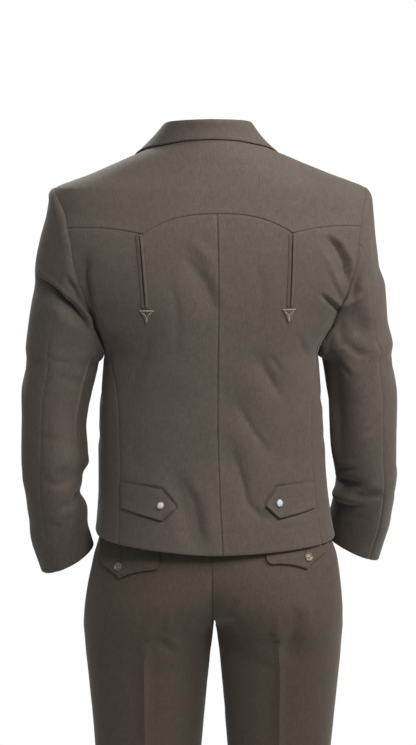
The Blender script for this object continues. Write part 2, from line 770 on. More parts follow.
def cloth(
    node, surface, across, up, material, *, on=None, lift=0, thick=CLOTH, edges,
    goes_on=False, shape=None, rise=None, joins=None, panel=None,
):
    """One cut piece: a thin shell whose outer face lies on the surface, with its creases and edges.

    edges are the kinds of its left, right, bottom and top edge, seen from outside. shape(s, t) works
    its outer face only and rise(s, t) lifts the whole cloth; joins(s, t) is how the neighbour above
    its top edge lies. A piece on a panel is one of its trims, and any other is a sheet of its own.
    """
    grid_s, grid_t = np.meshgrid(across, up)
    flat = surface(grid_s, grid_t)
    wide, tall = np.maximum(1, arcs(flat, 1)[:, -1:]), np.maximum(1, arcs(flat, 0)[-1:])

    def inset(left, right, bottom, top):
        return lerp(left / wide, 1 - right / wide, grid_s), lerp(bottom / tall, 1 - top / tall, grid_t)

    s, t = inset(*[SEAM_GAP / 2] * 4)
    flat = surface(s, t)
    normal = normal_of(surface, s, t, goes_on)
    from_left, from_bottom = arcs(flat, 1), arcs(flat, 0)
    aways = (from_left, from_left[:, -1:] - from_left, from_bottom, from_bottom[-1:] - from_bottom)
    out = lift + relief(on, flat, normal)
    if rise:
        out = out + rise(s, t)
    lie = normal * out[..., None]
    if joins:
        share = smoothstep(aways[3], 0.5, JOIN)[..., None]
        lie = lerp(joins(s, t), lie, share)
    under = surface(*inset(*[INNER_GAP.get(kind, SEAM_GAP / 2) for kind in edges]))
    inner = under + lie - normal * thick
    worked = sum(edge_relief(kind, away, flat) for kind, away in zip(edges, aways))
    if shape:
        worked = worked + shape(s, t)
    outer = flat + lie + normal * worked[..., None]
    points = np.concatenate([outer.reshape(-1, 3), inner.reshape(-1, 3)])
    along = from_bottom if on in (None, "left", "right") else flat[..., 2]
    uv = np.stack([from_left - from_left[:, -1:] / 2, along], -1).reshape(-1, 2)
    faces = shell_faces(*s.shape).tolist()
    piece = mesh_object(node + "_shell", points, faces, material, np.concatenate([uv, uv]))
    settle(piece, node, panel)
    if not panel:
        cut_of(flat)
    return piece


def cut_of(flat):
    """The width, length and area in metres of the piece as it is cut, before it creases."""
    a, b = np.diff(flat[:-1], axis=1), np.diff(flat[:, :-1], axis=0)
    c, d = np.diff(flat[1:], axis=1), np.diff(flat[:, 1:], axis=0)
    area = (np.linalg.norm(np.cross(a, b), axis=-1) + np.linalg.norm(np.cross(c, d), axis=-1)).sum() / 2
    width, tall = arcs(flat, 1)[:, -1].max(), arcs(flat, 0)[-1].max()
    return [round(width * MM, 4), round(tall * MM, 4), area * MM * MM]


def from_inner(side, share):
    """A share counted from the inner edge of a piece on the back, for one counted from its left edge."""
    return 1 - share if side > 0 else share


def half_surface(side, place, on_form):
    def at(s, t):
        a, b = place(from_inner(side, s), t)
        return on_form(side * a, b)

    return at


def seen(side, inner, outer):
    """The kinds of the left and right edge of a piece on the back, from its inner and outer ones."""
    return (outer, inner) if side > 0 else (inner, outer)


# ------- jacket body
BODY_ROWS = 8
BACK_ROWS = BODY_ROWS + (ARM_BACK - ARM_YOKE) / ARM_STEP
FRONT_ROWS = BODY_ROWS + (360 - ARM_SIDE) / ARM_STEP
YOKE_ARM_SHARE = 0.4  # of the yoke's side edge that is armhole, the rest being shoulder seam
YOKE_ARCH_SHARE = 4 / 7  # of the yoke's lower edge that is the middle arch
ROLL_TOP = (73, -52)
HEM_ROUNDING = 34
LIFT_FADES = {"sideways": (25, 80), "upwards": (20, 150)}  # from the centre front and from the break


def neck_z(turn):
    return collar_at["neckZ"](np.degrees(np.abs(turn)))


def shoulder_seam(t):
    turn, _ = armhole_at(np.zeros_like(t))
    return [lerp(turn, np.pi / 2, t), lerp(SHOULDER_Z, NECK_SIDE_Z, t)]


def armhole_edge(start, end):
    return lambda t: list(armhole_at(lerp(start, end, t)))


def yoke_middle_arch(u):
    return [YOKE_POINT[0] * u, lerp(YOKE_PEAK_Z, YOKE_POINT[1], np.abs(u) ** 2.6)]


def yoke_side_arch(u):
    turn, z = armhole_at(np.full_like(u, ARM_YOKE))
    rise = (YOKE_SIDE_PEAK_Z - YOKE_POINT[1]) * 3.6 * u * (1 - u)
    return [lerp(YOKE_POINT[0], torso_form(turn, z)[..., 0], u), lerp(YOKE_POINT[1], z, u) + rise]


def yoke_edge(t):
    x, z = chain(yoke_middle_arch, yoke_side_arch, YOKE_ARCH_SHARE)(t)
    return [turn_at(x, z), z]


YOKE_HALF = patch(
    bottom=yoke_edge,
    top=lambda s: [s * np.pi / 2, neck_z(s * np.pi / 2)],
    left=lambda t: [np.zeros_like(t), lerp(YOKE_PEAK_Z, neck_z(np.zeros(1)), t)],
    right=chain(armhole_edge(ARM_YOKE, 0), shoulder_seam, YOKE_ARM_SHARE),
)


def yoke_surface(s, t):
    turn, z = YOKE_HALF(np.abs(1 - 2 * s), t)
    return torso(np.where(s < 0.5, turn, -turn), z)


def front_x(x, z):
    return [turn_at(x, z, front=True), z]


def body_patches(name):
    """The back, the side body and the front of one half, each from its inner edge (0) outwards (1)."""

    def hem(turn):
        return HEM_Z + HEM_RISE[name] * np.sin(turn) ** 2

    hem_z = np.array(HEM_Z)
    back_hem_turn = turn_at(side_seam_x(hem_z), hem_z)
    top_turn, top_z = armhole_at(ARM_BACK)

    def side_back_edge(t):
        z = lerp(hem(back_hem_turn), top_z, t)
        share = smoothstep(z, -340, top_z)
        return [lerp(turn_at(side_seam_x(z), z), top_turn, share), z]

    def side_front_edge(t):
        turn, z = armhole_at(ARM_SIDE)
        return [lerp(SIDE_FRONT_HEM_TURN, turn, t), lerp(hem(SIDE_FRONT_HEM_TURN), z, t)]

    def overlap_edge(t):
        rounding = HEM_ROUNDING * np.maximum(0, 1 - t * 3) ** 2
        return front_x(rounding - FRONT_OVERLAP, lerp(HEM_Z, BREAK_Z, t))

    def roll_edge(t):
        return front_x(lerp(-FRONT_OVERLAP, ROLL_TOP[0], t), lerp(BREAK_Z, ROLL_TOP[1], t))

    def neck_edge(t):
        turn, z = front_x(*np.array(ROLL_TOP, float))
        return [lerp(turn, np.pi / 2, t), lerp(z, NECK_SIDE_Z, t)]

    front_edge = chain(overlap_edge, chain(roll_edge, neck_edge, 0.8), BODY_ROWS / FRONT_ROWS)

    def along_hem(start, end):
        def at(s):
            turn = lerp(start, end, s)
            return [turn, hem(turn)]

        return at

    zero = np.zeros(1)
    side_hem_turn = side_back_edge(zero)[0]
    return {
        "back": patch(
            bottom=along_hem(0, side_hem_turn),
            top=yoke_edge,
            left=lambda t: [np.zeros_like(t), lerp(HEM_Z, YOKE_PEAK_Z, t)],
            right=chain(side_back_edge, armhole_edge(ARM_BACK, ARM_YOKE), BODY_ROWS / BACK_ROWS),
        ),
        "side": patch(
            bottom=along_hem(side_hem_turn, SIDE_FRONT_HEM_TURN),
            top=armhole_edge(ARM_BACK, ARM_SIDE),
            left=side_back_edge,
            right=side_front_edge,
        ),
        "front": patch(
            bottom=along_hem(front_edge(zero)[0], SIDE_FRONT_HEM_TURN),
            top=lambda s: shoulder_seam(1 - s),
            left=front_edge,
            right=chain(side_front_edge, armhole_edge(ARM_SIDE, 360), BODY_ROWS / FRONT_ROWS),
        ),
    }


def front_surface(side, place):
    def at(s, t):
        turn, z = place(from_inner(-side, s), t)
        point = torso(side * turn, z)
        middle = 1 - smoothstep(side * (point[..., 0] - lean_at(z)), *LIFT_FADES["sideways"])
        below = 1 - smoothstep(z - BREAK_Z, *LIFT_FADES["upwards"])
        if side > 0:
            point = point - vec(0, FRONT_LIFT * middle * below, 0)
        return point

    return at


def back_grooves(name, side, place, width, depth):
    """The dart's cut between its welts, and the line that the tab presses into the back."""
    top_x, bottom_x = DART[name]
    dart = (top_x, DART["top"] + GROOVE_FADES), (bottom_x, DART["bottom"] - GROOVE_FADES)
    tab = np.array([*TAB_TOP[::-1], *TAB_BOTTOM], float)
    tab[:, 1] -= tab_drop(name, tab[:, 0])
    tab += TAB_LINE_OFFSET

    def at(s, t):
        point = torso_form(*place(from_inner(side, s), t))
        grooves = (crease_depth(point[..., 0], point[..., 2], width, depth, line) for line in (dart, tab))
        return sum(np.minimum(0, groove) for groove in grooves)

    return at


def make_body(wool):
    point = [(1 + k * YOKE_ARCH_SHARE) / 2 for k in (-1, 1)]
    cloth(
        "jacket_yoke", yoke_surface, places(560, 2.8, (*point, 0.5)), places(125, 2.8, (YOKE_ARM_SHARE,)),
        wool, on="body", edges=("seam", "seam", "over", "seam"),
    )
    for name, side in SIDES:
        place = body_patches(name)
        corner = BODY_ROWS / BACK_ROWS
        arch = from_inner(side, YOKE_ARCH_SHARE)
        centre = "under" if side > 0 else "over"
        cloth(
            "jacket_back_" + name, half_surface(side, place["back"], torso),
            places(165, 2.1, (arch,)), places(515, 2.2, (corner,)), wool, on="body",
            edges=(*seen(side, centre, "seam"), "hem", "under"),
            shape=back_grooves(name, side, place["back"], *GROOVE["outer_face"]),
            rise=back_grooves(name, side, place["back"], *GROOVE["whole_cloth"]),
        )
        cloth(
            "jacket_side_" + name, half_surface(side, place["side"], torso),
            places(110, 3.4), places(325, 3.4), wool, on="body",
            edges=("seam", "seam", "hem", "seam"),
        )
        corner = BODY_ROWS / FRONT_ROWS
        cloth(
            "jacket_front_" + name, front_surface(side, place["front"]),
            places(205, 4), places(560, 4, (corner, 2 * corner)), wool, on="body",
            edges=(*seen(-side, "free", "seam"), "hem", "seam"),
        )


# ------- collar and lapels
COLLAR_LIFT = CLOTH + 1.1
FOLD_HALF = 3.0
LAPEL_TIP = (128, -90)
NOTCH = (98, -63)
LAPEL_LIFT = FRONT_LIFT + CLOTH + 0.6


def rounded(points, t, rounds=2):
    """A polyline whose corners are cut off again and again, which keeps its ends."""
    for _ in range(rounds):
        cut = [points[0]]
        for a, b in zip(points, points[1:]):
            cut += [[lerp(p, q, 0.25) for p, q in zip(a, b)], [lerp(p, q, 0.75) for p, q in zip(a, b)]]
        points = [*cut, points[-1]]
    return polyline(points, t)


def collar_surface(s, t):
    """The collar's outside: t runs up the fall from its free edge, over the fold and down the stand."""
    most = COLLAR_SECTIONS["turn"][-1]
    degrees = lerp(most, -most, s)
    row = {name: at(np.abs(degrees)) for name, at in collar_at.items()}
    turn = np.radians(degrees)
    radial = vec(np.sin(turn), np.cos(turn), 0)
    edge_turn = np.radians(row["edgeTurn"]) * np.where(degrees < 0, -1, 1)
    edge = torso_form(edge_turn, row["edgeZ"])
    edge = edge + COLLAR_LIFT * 0.7 * unit(edge * [1, 1, 0]) + [0, 0, COLLAR_LIFT * 0.75]
    fold = radial * row["foldRadius"][..., None] + vec(0, 0, row["foldZ"])
    sewn = torso_form(turn, row["neckZ"]) + [0, 0, SEAM_GAP + 0.3]
    section = [
        edge,
        lerp(edge, fold, 0.5) - 0.5 * radial,
        fold + FOLD_HALF * radial - [0, 0, 4],
        fold,
        fold - FOLD_HALF * radial - [0, 0, 4],
        sewn,
    ]
    x, y, z = rounded([[p[..., k] for k in range(3)] for p in section], t, 1)
    return stand(vec(x, y, z), SHOULDER_TURN, lean_at(z))


def lapel_half(s, t):
    """The left lapel as (x, z): s runs from the roll line to its free edge and t from the break up."""
    roll = [lerp(6, ROLL_TOP[0], t), lerp(BREAK_Z + 12, ROLL_TOP[1] - 3, t)]
    t = np.clip(t, 0, 1)
    belly = 13 * np.sin(np.pi * t**0.8)
    free = [lerp(9, LAPEL_TIP[0], t**0.92) + belly, lerp(BREAK_Z + 8, LAPEL_TIP[1], t)]
    inner = [lerp(roll[0], NOTCH[0], t), lerp(roll[1], NOTCH[1], t)]
    middle = [lerp(lerp(roll[k], free[k], 0.45), inner[k], t**8) for k in (0, 1)]
    return polyline([roll, middle, free], s)


def lapel_surface(side):
    def at(s, t):
        x, z = lapel_half(from_inner(-side, s), t)
        return torso(side * turn_at(x, z, front=True), z)

    return at


def make_collar(wool):
    roll = [0.52, 0.56, 0.6, 0.64, 0.68]  # closer rows where the collar folds over
    up = np.union1d(places(78, 3), roll)
    cloth(
        "jacket_collar", collar_surface, places(520, 3.4), up, wool,
        edges=("free", "free", "free", "seam"),
    )
    for name, side in SIDES:
        cloth(
            "jacket_lapel_" + name, lapel_surface(side), places(56, 3, (0.5,)), places(345, 4), wool,
            lift=LAPEL_LIFT, edges=("free", "free", "free", "free"),
        )


# ------- sleeves
# Rows that lie closer together as they come to the armhole.
SLEEVE_TOP_ROWS = 1 - np.array([0.11, 0.08, 0.055, 0.035, 0.02, 0.01, 0.003, 0]) / 2


def sleeve_surface(side, start, end):
    def at(s, t):
        return sleeve(side, lerp(start, end, from_inner(-side, s)), 2 * (1 - t))

    return at


def body_beside(side, start, end):
    """How the jacket's body lies off its form along the armhole, for a sleeve's top edge to follow."""

    def at(s, t):
        turn, z = armhole_at(lerp(start, end, from_inner(-side, s)))
        turn = side * turn
        point = torso(turn, z)
        across = torso(turn + SLIVER, z) - torso(turn - SLIVER, z)
        normal = unit(np.cross(torso(turn, z + 0.5) - torso(turn, z - 0.5), across))
        return normal * relief("body", point, normal)[..., None]

    return at


def make_sleeves(wool):
    up = places(650, 3.2)
    up = np.concatenate([up[up < SLEEVE_TOP_ROWS[0]], SLEEVE_TOP_ROWS])
    for name, side in SIDES:
        pieces = {
            "jacket_sleeve_top_": (FRONT_SEAM_AROUND - 360, BACK_SEAM_AROUND, 205, "seam over"),
            "jacket_sleeve_under_": (BACK_SEAM_AROUND, FRONT_SEAM_AROUND, 165, "seam under"),
        }
        for prefix, (start, end, wide, seam) in pieces.items():
            cloth(
                prefix + name, sleeve_surface(side, start, end), places(wide, 3.2), up, wool, on=name,
                edges=(seam, seam, "hem", "roped"), goes_on=True,
                joins=body_beside(side, start, end),
            )


# ------- what lies on the jacket back
LIE = 0.5  # clearance under a piece that lies on a panel
TRIM = 1.4  # thickness of a tab, flap or welt
TAB_TOP = ((69, -548.3), (89, -524), (149, -514))
TAB_BOTTOM = ((69, -550.7), (89, -570.5), (149, -554))
TAB_BASE_DROP = {"left": 1.5, "right": 7.0}
TAB_STAND = {"tip": 2.0, "lower_edge": 0.8}
GROOVE = {"outer_face": (2.3, -1.6), "whole_cloth": (3.0, -1.4)}  # half its width, and its depth
GROOVE_FADES = 9.0  # how far it runs out beyond the ends of a dart
# From the corners of a tab's outline to those of the line that it presses into the back.
TAB_LINE_OFFSET = ((0, 1.3), (-0.8, 1.5), (-1.0, 0), (-1.0, 0), (-0.8, -1.2), (0, -1.2))
DART = {"top": -138.4, "bottom": -247.5, "left": (117.5, 110), "right": (111.7, 107.2)}
WELT = {"width": 4.2, "slit": 2.4}
ARROWHEAD = {"top": -250.8, "tip": -271.0, "half": 10.5, "tip_half": 0.5, "thick": 1.0}
ARROWHEAD_X = {"left": 107.0, "right": 106.0}


def height_on(outline, x):
    rows = np.array(outline, float)
    return np.interp(x, rows[:, 0], rows[:, 1])


def inside(lower, upper, s, t):
    """The point (x, z) between two outlines: s runs along them and t from the lower to the upper."""
    x = lerp(lower[0][0], lower[-1][0], np.clip(s, 0, 1))
    return [x, lerp(height_on(lower, x), height_on(upper, x), t)]


def share_along(outline, x):
    return (x - outline[0][0]) / (outline[-1][0] - outline[0][0])


def shares(lower, upper, x, z):
    """The s and t that the point (x, z) has between two outlines."""
    low, high = height_on(lower, x), height_on(upper, x)
    return share_along(lower, x), (z - low) / (high - low)


def on_back(side, place):
    return half_surface(side, place, lambda x, z: torso(turn_at(x, z), z))


def tab_drop(name, x):
    """How far a tab sinks from its shoulder at x to its root."""
    (_, _), (shoulder, _), (root, _) = TAB_TOP
    return TAB_BASE_DROP[name] * np.maximum(0, (x - shoulder) / (root - shoulder))


def tab_place(name):
    def at(s, t):
        x, z = inside(TAB_BOTTOM, TAB_TOP, s, t)
        return [x, z - tab_drop(name, x)]

    return at


def welt_place(name, edge):
    def at(s, t):
        inner = -WELT["slit"] / 2 - WELT["width"] if edge < 0 else WELT["slit"] / 2
        top_x, bottom_x = DART[name]
        x = lerp(bottom_x, top_x, t) + inner + s * WELT["width"]
        return [x, lerp(DART["bottom"], DART["top"], t)]

    return at


def arrowhead_place(name):
    def at(s, t):
        half = lerp(ARROWHEAD["tip_half"], ARROWHEAD["half"], t)
        return [ARROWHEAD_X[name] + (2 * s - 1) * half, lerp(ARROWHEAD["tip"], ARROWHEAD["top"], t)]

    return at


def on_cloth(surface, on, s, t, lift):
    """Points lying that far off the creased cloth, and the normals there."""
    s, t = np.asarray(s, float), np.asarray(t, float)
    point, normal = surface(s, t), normal_of(surface, s, t)
    return point + normal * (lift + relief(on, point, normal))[..., None], normal


def tubes(name, lines, radius, material, sides=6):
    """Threads as one mesh: each line is an array of points, closed off at both ends."""
    points, faces, count = [], [], 0
    turn = np.arange(sides) * 2 * np.pi / sides
    for line in lines:
        line = np.asarray(line, float)
        way = unit(np.gradient(line, axis=0))
        a = unit(np.cross(way, [0.31, 0.17, 0.93]))
        b = np.cross(way, a)
        end = np.sin(np.linspace(0, np.pi, len(line))) ** 0.25
        thick = radius * np.maximum(end, 0.15)[:, None, None]
        ring = a[:, None] * np.cos(turn)[:, None] + b[:, None] * np.sin(turn)[:, None]
        points.append((line[:, None] + ring * thick).reshape(-1, 3))
        faces += ring_faces(len(line), sides, count).tolist()
        start, count = count, count + len(line) * sides
        faces += [list(range(start, start + sides))[::-1], list(range(count - sides, count))]
    return mesh_object(name, np.concatenate(points), faces, material, sharp=180)


def arrowhead_threads(side, surface):
    """Three colours of satin stitch: a light bar and Y, mid-brown sides and a dark middle."""
    rng = np.random.default_rng(SEED + side)
    fork, arm_top = 0.5, 0.86  # where the Y parts, and how high its arms reach

    def laid(start, end, rise, count=5):
        u = np.linspace(0, 1, count)
        lift = LIE + ARROWHEAD["thick"] + rise * np.sin(np.pi * u) ** 0.6 - 0.15
        return on_cloth(surface, "body", lerp(start[0], end[0], u), lerp(start[1], end[1], u), lift)[0]

    def arm(end, t):
        return lerp(0.5, end, max(0.0, t - fork) / (arm_top - fork) * 0.8)

    light, middle, dark = [], [], []
    for s in np.linspace(0.02, 0.98, 36):
        light.append(laid((s, 0.9), (s + rng.normal(0, 0.004), 1.01), 0.45))
    for offset in (-0.6, -0.2, 0.2, 0.6):
        light.append(laid((0.5 + 0.12 * offset, fork + 0.04), (0.5 + 0.3 * offset, 0.02), 0.5, 9))
        for end in (0, 1):
            foot, top = (0.5, fork + 0.05 * offset), (arm(end, arm_top), arm_top + 0.05 * offset)
            light.append(laid(foot, top, 0.45, 9))
    for t in np.linspace(0.04, 0.88, 30):
        for end in (0, 1):
            middle.append(laid((end, t), (lerp(arm(end, t), end, 0.12), max(0.02, t - 0.06)), 0.35))
        if t > fork + 0.06:
            dark.append(laid((arm(0, t - 0.05), t), (arm(1, t - 0.05), t), 0.12))
    return light, middle, dark


def tab_rise(side):
    """The pointed end stands off the back a little beyond its snap, and so does the lower edge."""

    def at(s, t):
        tip = 1 - smoothstep(from_inner(side, s), 0, 0.27)
        return TAB_STAND["tip"] * tip + TAB_STAND["lower_edge"] * (1 - smoothstep(t, 0, 0.4))

    return at


def welt_shape(side, edge):
    """A welt is rounded at the slit and thins out towards its stitched edge."""

    def at(s, t):
        from_slit = from_inner(-edge, from_inner(side, s))
        return -1.3 * from_slit**1.6 - 0.35 * np.abs(1 - from_slit) ** 6

    return at


def make_back_trims(wool, thread, mid_thread, dark_thread):
    for name, side in SIDES:
        panel = "jacket_back_" + name
        tab = on_back(side, tab_place(name))
        shoulder = share_along(TAB_TOP, TAB_TOP[1][0])
        cloth(
            "back_tab_" + name, tab, places(82, 1.6, (from_inner(side, shoulder),)), places(44, 1.6), wool,
            on="body", lift=LIE + TRIM, thick=TRIM, edges=(*seen(side, "free", "seam"), "free", "pipe"),
            rise=tab_rise(side),
        )
        for prefix, edge in (("dart_welt_inner_", -1), ("dart_welt_outer_", 1)):
            across = (1 - np.cos(np.linspace(0, np.pi, 9))) / 2
            cloth(
                prefix + name, on_back(side, welt_place(name, edge)), across, places(108, 1.5), wool,
                on="body", lift=LIE + TRIM, thick=TRIM, edges=("pipe", "pipe", "free", "seam"),
                panel=panel, shape=welt_shape(side, edge),
            )
        head = on_back(side, arrowhead_place(name))
        cloth(
            "arrowhead_" + name, head, np.linspace(0, 1, 15), np.linspace(0, 1, 15), dark_thread,
            on="body", lift=LIE + ARROWHEAD["thick"], thick=ARROWHEAD["thick"],
            edges=("pipe", "pipe", "pipe", "pipe"), panel=panel,
        )
        light, middle, dark = arrowhead_threads(side, head)
        for part, lines, material in (
            ("light", light, thread),
            ("middle", middle, mid_thread),
            ("dark", dark, dark_thread),
        ):
            threads = tubes(f"arrowhead_{name}_{part}_threads", lines, 0.32, material)
            settle(threads, panel=panel)


# ------- trousers
FLY = {"half": 20.0, "top": WAIST_SEAM_Z - 3, "bottom": -662.0, "behind": CLOTH + 1.2}
FLAP_LIE = 1.2
FLAP_STAND = 1.3  # how far its lower edge stands off beyond that
SEAT_TILT = -0.055
SEAT_ROWS_Z = -905.0  # above this the rows are closer together
FLAP_LOWER = (
    (80.5, -634), (82.5, -641), (88, -644.5), (102, -645.5), (116, -648), (129, -652.3),
    (142.3, -658.5), (151, -651), (160, -646), (170, -641), (175, -632),
)
FLAP_UPPER = ((80.5, -600.0), (175, -600.0))


def leg_surface(side, start, end):
    def at(s, t):
        around = lerp(start, end, from_inner(side, s))
        return trouser_leg(side, around, lerp(LEG_HEM_Z, WAIST_SEAM_Z, t))

    return at


def waist_surface(s, t):
    around = np.abs(1 - 2 * s) * 2
    z = lerp(WAIST_SEAM_Z, WAIST_TOP_Z, t)
    left, right = trouser_leg(1, around, z), trouser_leg(-1, around, z)
    return np.where((s < 0.5)[..., None], left, right)


def depth_at(x, z, full):
    share = np.minimum(1, np.abs(x - leg_at["middle"](z)) / leg_at["half"](z))
    return full * girth(share, LEG_SQUARE)


def fly_surface(s, t):
    z = lerp(FLY["bottom"], FLY["top"], t)
    x = lerp(-FLY["half"], FLY["half"], s)
    return stand(vec(x, -depth_at(np.abs(x), z, leg_at["front"](z)), z), HIP_TURN, lean_at(z))


def on_seat(side, place):
    def at(s, t):
        x, level = place(from_inner(side, s), t)
        z = level + SEAT_TILT * side * x
        return stand_trousers(side, x, depth_at(x, z, leg_at["back"](z)), z)

    return at


def flap_place(s, t):
    return inside(FLAP_LOWER, FLAP_UPPER, s, t)


def make_trousers(wool):
    tall = WAIST_SEAM_Z - LEG_HEM_Z
    seat = np.linspace(SEAT_ROWS_Z, WAIST_SEAM_Z - 3.5, 86)
    legs = np.arange(SEAT_ROWS_Z - 4, LEG_HEM_Z + 4, -7.5)[::-1]
    hem = LEG_HEM_Z + np.array(EDGE_STEPS)
    top = WAIST_SEAM_Z - np.array(EDGE_STEPS[::-1])[1:]
    up = (np.concatenate([hem, legs, seat, top]) - LEG_HEM_Z) / tall
    up[0], up[-1] = 0, 1
    for name, side in SIDES:
        centre = "under" if side > 0 else "over"
        cloth(
            "trouser_back_" + name, leg_surface(side, 0, 1), places(230, 4.2), up, wool, on="trousers",
            edges=(*seen(side, centre, "seam"), "hem", "seam"),
        )
        cloth(
            "trouser_front_" + name, leg_surface(side, 1, 2), places(240, 5), up, wool, on="trousers",
            edges=(*seen(-side, "seam", "seam"), "hem", "seam"),
        )
        flap = on_seat(side, flap_place)
        keep = [from_inner(side, share_along(FLAP_LOWER, x)) for x, _ in FLAP_LOWER]
        across = places(96, 1.5, keep)
        cloth(
            "pocket_flap_" + name, flap, np.unique(across), places(48, 1.6), wool, on="trousers",
            lift=FLAP_LIE + TRIM, thick=TRIM, edges=("free", "free", "free", "seam"),
            rise=lambda s, t: FLAP_STAND * (1 - smoothstep(t, 0, 0.5)),
        )
    cloth(
        "trouser_waistband", waist_surface, places(900, 5), places(40, 4), wool, thick=2.4,
        edges=("free", "free", "seam", "free"),
    )
    cloth(
        "trouser_fly", fly_surface, places(40, 4), places(118, 4), wool, lift=-FLY["behind"],
        edges=("free", "free", "free", "seam"),
    )


# ------- buttons and snaps
SNAP = {"x": 90.0, "z": -547.0, "radius": 6.0, "pearl": 4.5}
FLAP_BUTTON = {"x": 143.8, "z": -642.0, "radius": 7.0, "height": 2.6}
BUTTONHOLE = {"beside": -3.6, "top": -620.5, "bottom": -634.5, "stitches": 26}
FRONT_BUTTON = {"radius": 10.0, "height": 3.4, "levels": (-412, -506)}
WAIST_BUTTON = {"radius": 7.0, "height": 2.6, "z": (WAIST_TOP_Z + WAIST_SEAM_Z) / 2}


def facing(normal):
    """The directions to the side and upwards on a face with that normal."""
    side = unit(np.cross([0, 0, 1], normal))
    return side, np.cross(normal, side)


def turned(name, node, profile, foot, normal, material, panel=None, segments=64, worked=None):
    """A turned piece on a foot point; worked(radius, angle) adds to its height."""
    radius, height = np.array(profile, float).T
    angle = np.arange(segments) * 2 * np.pi / segments
    r, a = np.meshgrid(radius, angle, indexing="ij")
    h = np.repeat(height[:, None], segments, 1)
    if worked:
        h = h + worked(r, a)
    side, up = facing(normal)
    spot = foot + r[..., None] * (np.cos(a)[..., None] * side + np.sin(a)[..., None] * up)
    points = (spot + h[..., None] * normal).reshape(-1, 3)
    faces = ring_faces(len(radius), segments)
    if radius[0] > 0 and np.allclose(profile[0], profile[-1]):  # a ring closes on itself
        last = (len(radius) - 1) * segments
        faces, points = faces % last, points[:last]
    piece = mesh_object(name, points, faces.tolist(), material, sharp=55)
    return settle(piece, node, panel)


def curve_profile(*rows, fine=5):
    """A profile given by a few rows, with its corners rounded off."""
    points = [[np.array(r, float), np.array(h, float)] for r, h in rows]
    t = np.linspace(0, 1, fine * len(rows))
    return np.stack(rounded(points, t), -1)


def place_on(surface, on, s, t, lift):
    foot, normal = on_cloth(surface, on, np.array([s]), np.array([t]), lift)
    return foot[0], normal[0]


def make_snaps(steel, pearl):
    for name, side in SIDES:
        tab = on_back(side, tab_place(name))
        s, t = shares(TAB_BOTTOM, TAB_TOP, SNAP["x"], SNAP["z"])
        foot, normal = place_on(tab, "body", from_inner(side, s), t, LIE + TRIM + 0.3)
        outer, cap = SNAP["radius"], SNAP["pearl"]
        ring = curve_profile(
            (cap + 0.2, 0.3), (cap + 0.4, 0), (outer - 0.2, 0), (outer, 0.5), (outer - 0.2, 1.5),
            (cap + 0.9, 2.0), (cap + 0.3, 1.6), (cap + 0.2, 0.3),
        )

        def prongs(r, a):
            return 0.12 * np.cos(16 * a) * (r > outer - 1.1) * (r < outer - 0.15)

        panel = "back_tab_" + name
        turned(
            "snap_ring_" + name + "_metal", "snap_ring_" + name, ring, foot, normal, steel,
            panel, worked=prongs,
        )
        dome = curve_profile(
            (0, 0), (cap, 0), (cap + 0.05, 1.2), (cap * 0.86, 1.9), (cap * 0.5, 2.25), (cap * 0.32, 2.3),
            (cap * 0.25, 2.0), (cap * 0.18, 2.0), (0, 2.25),
        )
        turned(
            "snap_pearl_" + name + "_cap", "snap_pearl_" + name, dome, foot, normal, pearl,
            panel,
        )


def medallion(r, a, radius):
    """Generic turned relief: a roped rim, a ring of beads and a domed middle."""
    share = r / radius
    rope = 0.16 * np.cos(26 * a + 7 * share) * bell(share - 0.86, 0.06)
    beads = 0.22 * np.maximum(0, np.cos(12 * a)) * bell(share - 0.56, 0.08)
    petals = 0.12 * np.cos(6 * a) * bell(share - 0.3, 0.09)
    return rope + beads + petals


def make_flap_buttons(bronze, thread):
    radius, high = FLAP_BUTTON["radius"], FLAP_BUTTON["height"]
    for name, side in SIDES:
        flap = on_seat(side, flap_place)

        def spot(x, z, lift):
            s, t = shares(FLAP_LOWER, FLAP_UPPER, x, z)
            return place_on(flap, "trousers", from_inner(side, s), t, lift)

        foot, normal = spot(FLAP_BUTTON["x"], FLAP_BUTTON["z"], FLAP_LIE + TRIM + 0.3)
        dome = curve_profile(
            (0, 0), (radius * 0.9, 0), (radius, high * 0.35), (radius * 0.97, high * 0.75),
            (radius * 0.86, high), (radius * 0.76, high * 0.82), (radius * 0.66, high * 0.6),
            (radius * 0.5, high * 0.75), (radius * 0.38, high * 0.62), (radius * 0.24, high * 0.85),
            (0, high * 0.95),
        )
        panel = "pocket_flap_" + name
        turned(
            "flap_button_" + name + "_metal", "flap_button_" + name, dome, foot, normal, bronze,
            panel, segments=104, worked=lambda r, a: medallion(r, a, radius) * (r > 0.1 * radius),
        )
        # The buttonhole above it: two rows of close stitches on either side of a cut.
        hole_x = FLAP_BUTTON["x"] + BUTTONHOLE["beside"]
        lines = []
        for edge in (-1, 1):
            for z in np.linspace(BUTTONHOLE["bottom"], BUTTONHOLE["top"], BUTTONHOLE["stitches"]):
                ends = [
                    spot(hole_x + edge * w, z, FLAP_LIE + TRIM + rise)[0]
                    for w, rise in ((0.25, 0.1), (0.55, 0.42), (0.95, 0.42), (1.35, 0.05))
                ]
                lines.append(np.array(ends))
        hole = tubes(f"buttonhole_{name}_stitches", lines, 0.24, thread)
        settle(hole, panel=panel)


def four_holes(radius, spacing, hole):
    def at(r, a):
        x, y = r * np.cos(a), r * np.sin(a)
        away = np.hypot(np.abs(x) - spacing, np.abs(y) - spacing)
        return -1.3 * (1 - smoothstep(away, hole * 0.6, hole * 1.15)) * (r < radius * 0.6)

    return at


def horn_profile(radius, high):
    rim = curve_profile(
        (radius * 0.75, 0), (radius * 0.93, 0), (radius, high * 0.4), (radius * 0.95, high * 0.9),
        (radius * 0.84, high), (radius * 0.72, high * 0.9), (radius * 0.6, high * 0.7),
    )
    dish = np.stack([np.linspace(0.58, 0, 30) * radius, np.full(30, high * 0.7)], -1)
    return np.concatenate([[[0, 0]], rim, dish])


